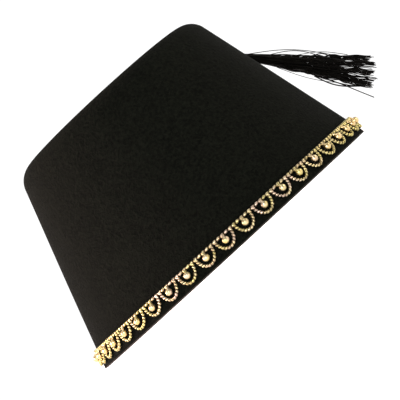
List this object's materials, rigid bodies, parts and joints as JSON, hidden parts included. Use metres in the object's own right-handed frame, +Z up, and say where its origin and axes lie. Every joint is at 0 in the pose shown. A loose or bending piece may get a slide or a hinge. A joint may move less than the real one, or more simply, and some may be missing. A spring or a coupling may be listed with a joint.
{
  "type": "fez hat",
  "caption": "Felt fez: a hollow truncated cone with a rounded shoulder, a gilt scalloped braid with hanging beads round its rim, and a tassel on a cord from the crown.",
  "frame": {"origin": "middle of the rim, in the plane on which the hat rests", "axes": "+Z up through the crown, -Y the front that the picture shows, +X the side where the tassel hangs"},
  "size_m": [0.2231, 0.1938, 0.1123],
  "materials": {
    "felt": "fine brushed wool felt, black, with a dull nap",
    "gilt": "gilt twisted cord and round gilt beads, satin to bright",
    "button_cloth": "black cloth over a flat button",
    "silk": "black artificial silk, twisted and loose, with a soft gloss"
  },
  "bodies": {
    "root": {"felt_shell": "felt", "gilt_braid": "gilt", "crown_button": "button_cloth", "tassel_cord": "silk", "tassel": "silk"}
  },
  "joints": []
}
